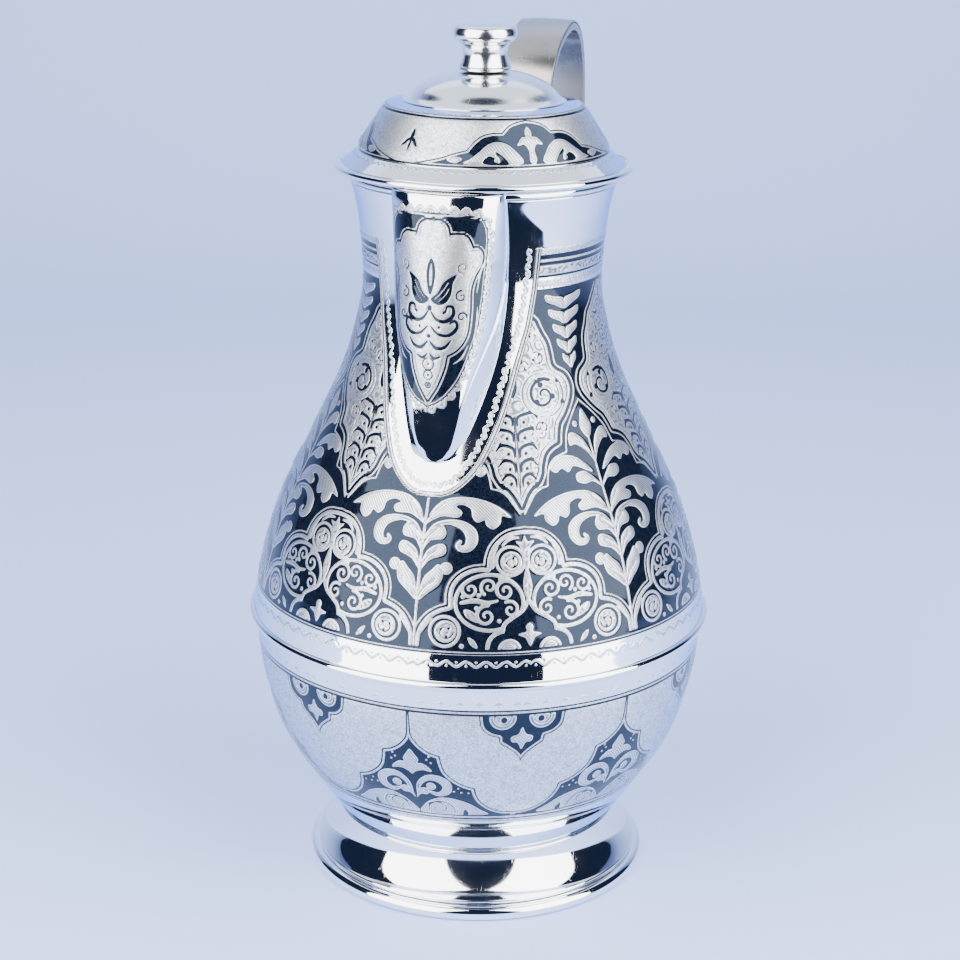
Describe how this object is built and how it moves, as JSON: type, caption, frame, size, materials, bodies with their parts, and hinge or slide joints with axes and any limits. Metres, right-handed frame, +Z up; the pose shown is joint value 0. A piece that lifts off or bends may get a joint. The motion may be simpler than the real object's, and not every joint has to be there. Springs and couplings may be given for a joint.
{
  "type": "covered coffee pot",
  "caption": "Pear-bodied silver pot with a beak spout, a loop handle, a flared foot and a lift-off domed lid with a knob.",
  "frame": {"origin": "middle of the whole pot's base: on the foot's resting plane, 13.9 mm from the body's axis towards the handle", "axes": "+Z up, parallel to the body's axis, -Y towards the beak, +Y towards the handle"},
  "size_m": [0.1648, 0.1926, 0.3024],
  "materials": {
    "engraved_silver": "silver with black niello and matt engraving",
    "polished_silver": "mirror polish",
    "satin_silver": "satin, slightly tarnished"
  },
  "bodies": {
    "pot": {"upper_body": "engraved_silver", "lower_bowl": "engraved_silver", "belly_bead": "polished_silver", "neck_rim": "polished_silver", "spout_beak": "engraved_silver", "foot_ring": "polished_silver", "foot_rim_wire": "polished_silver", "foot_top_wire": "polished_silver", "handle_lining": "satin_silver", "handle_back": "satin_silver", "handle_panel": "engraved_silver", "handle_upper_plate": "polished_silver", "handle_lower_plate": "polished_silver"},
    "lid": {"lid_dome": "engraved_silver", "lid_rim_wire": "polished_silver", "lid_bezel": "polished_silver", "lid_cap": "polished_silver", "lid_knob": "polished_silver", "knob_collar": "polished_silver", "knob_stud": "satin_silver", "knob_washer": "satin_silver", "knob_nut": "satin_silver"}
  },
  "joints": [
    {"name": "lid_lift", "type": "slide", "parent": "pot", "child": "lid", "axis": [0, 0, 1], "range_m": [0, 0.09]}
  ]
}
